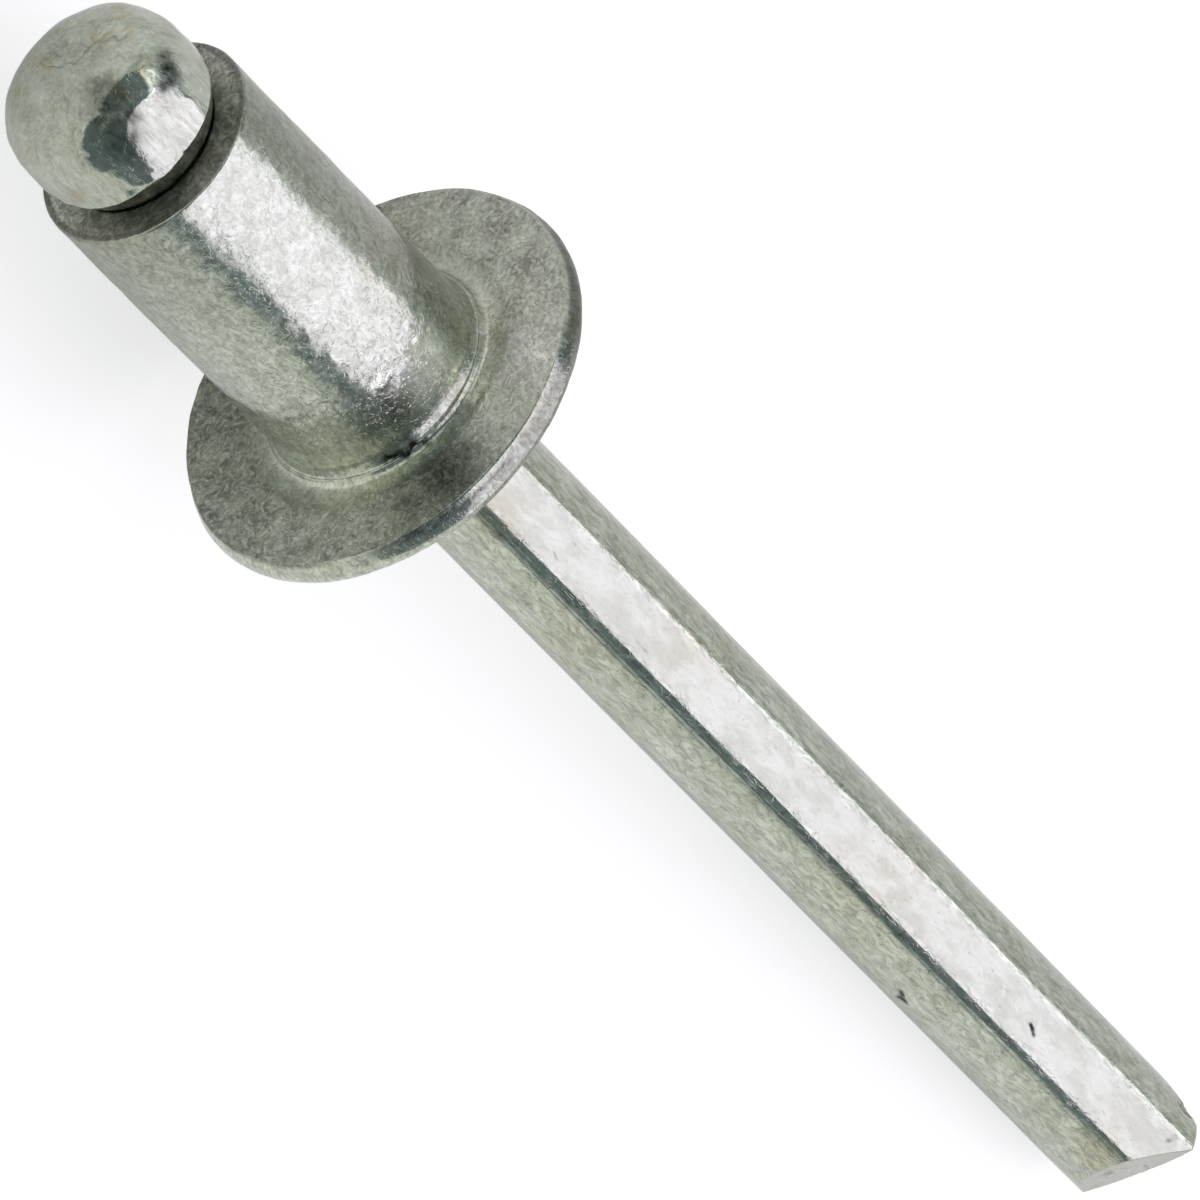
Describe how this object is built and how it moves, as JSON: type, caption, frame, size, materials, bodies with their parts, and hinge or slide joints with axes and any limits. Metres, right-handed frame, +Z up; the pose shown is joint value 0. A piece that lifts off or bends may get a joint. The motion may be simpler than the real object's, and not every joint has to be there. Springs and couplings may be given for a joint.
{
  "type": "blind rivet",
  "caption": "Unset domed-head blind rivet: a flanged steel tube on a headed steel mandrel with a breaking neck and a pinch-cut end, lying on its side.",
  "frame": {"origin": "middle of the lying rivet's footprint, on the surface that it lies on", "axes": "+X along the floor towards the mandrel's pinched end, with the rivet's axis leaning 6.47 degrees down that way; +Z up; the axis lies in the XZ plane"},
  "size_m": [0.0414, 0.0092, 0.0092],
  "materials": {
    "body_zinc": "satin zinc plate, tumbled",
    "mandrel_zinc": "satin zinc plate on drawn wire"
  },
  "bodies": {
    "root": {"rivet_body": "body_zinc", "mandrel": "mandrel_zinc"}
  },
  "joints": []
}
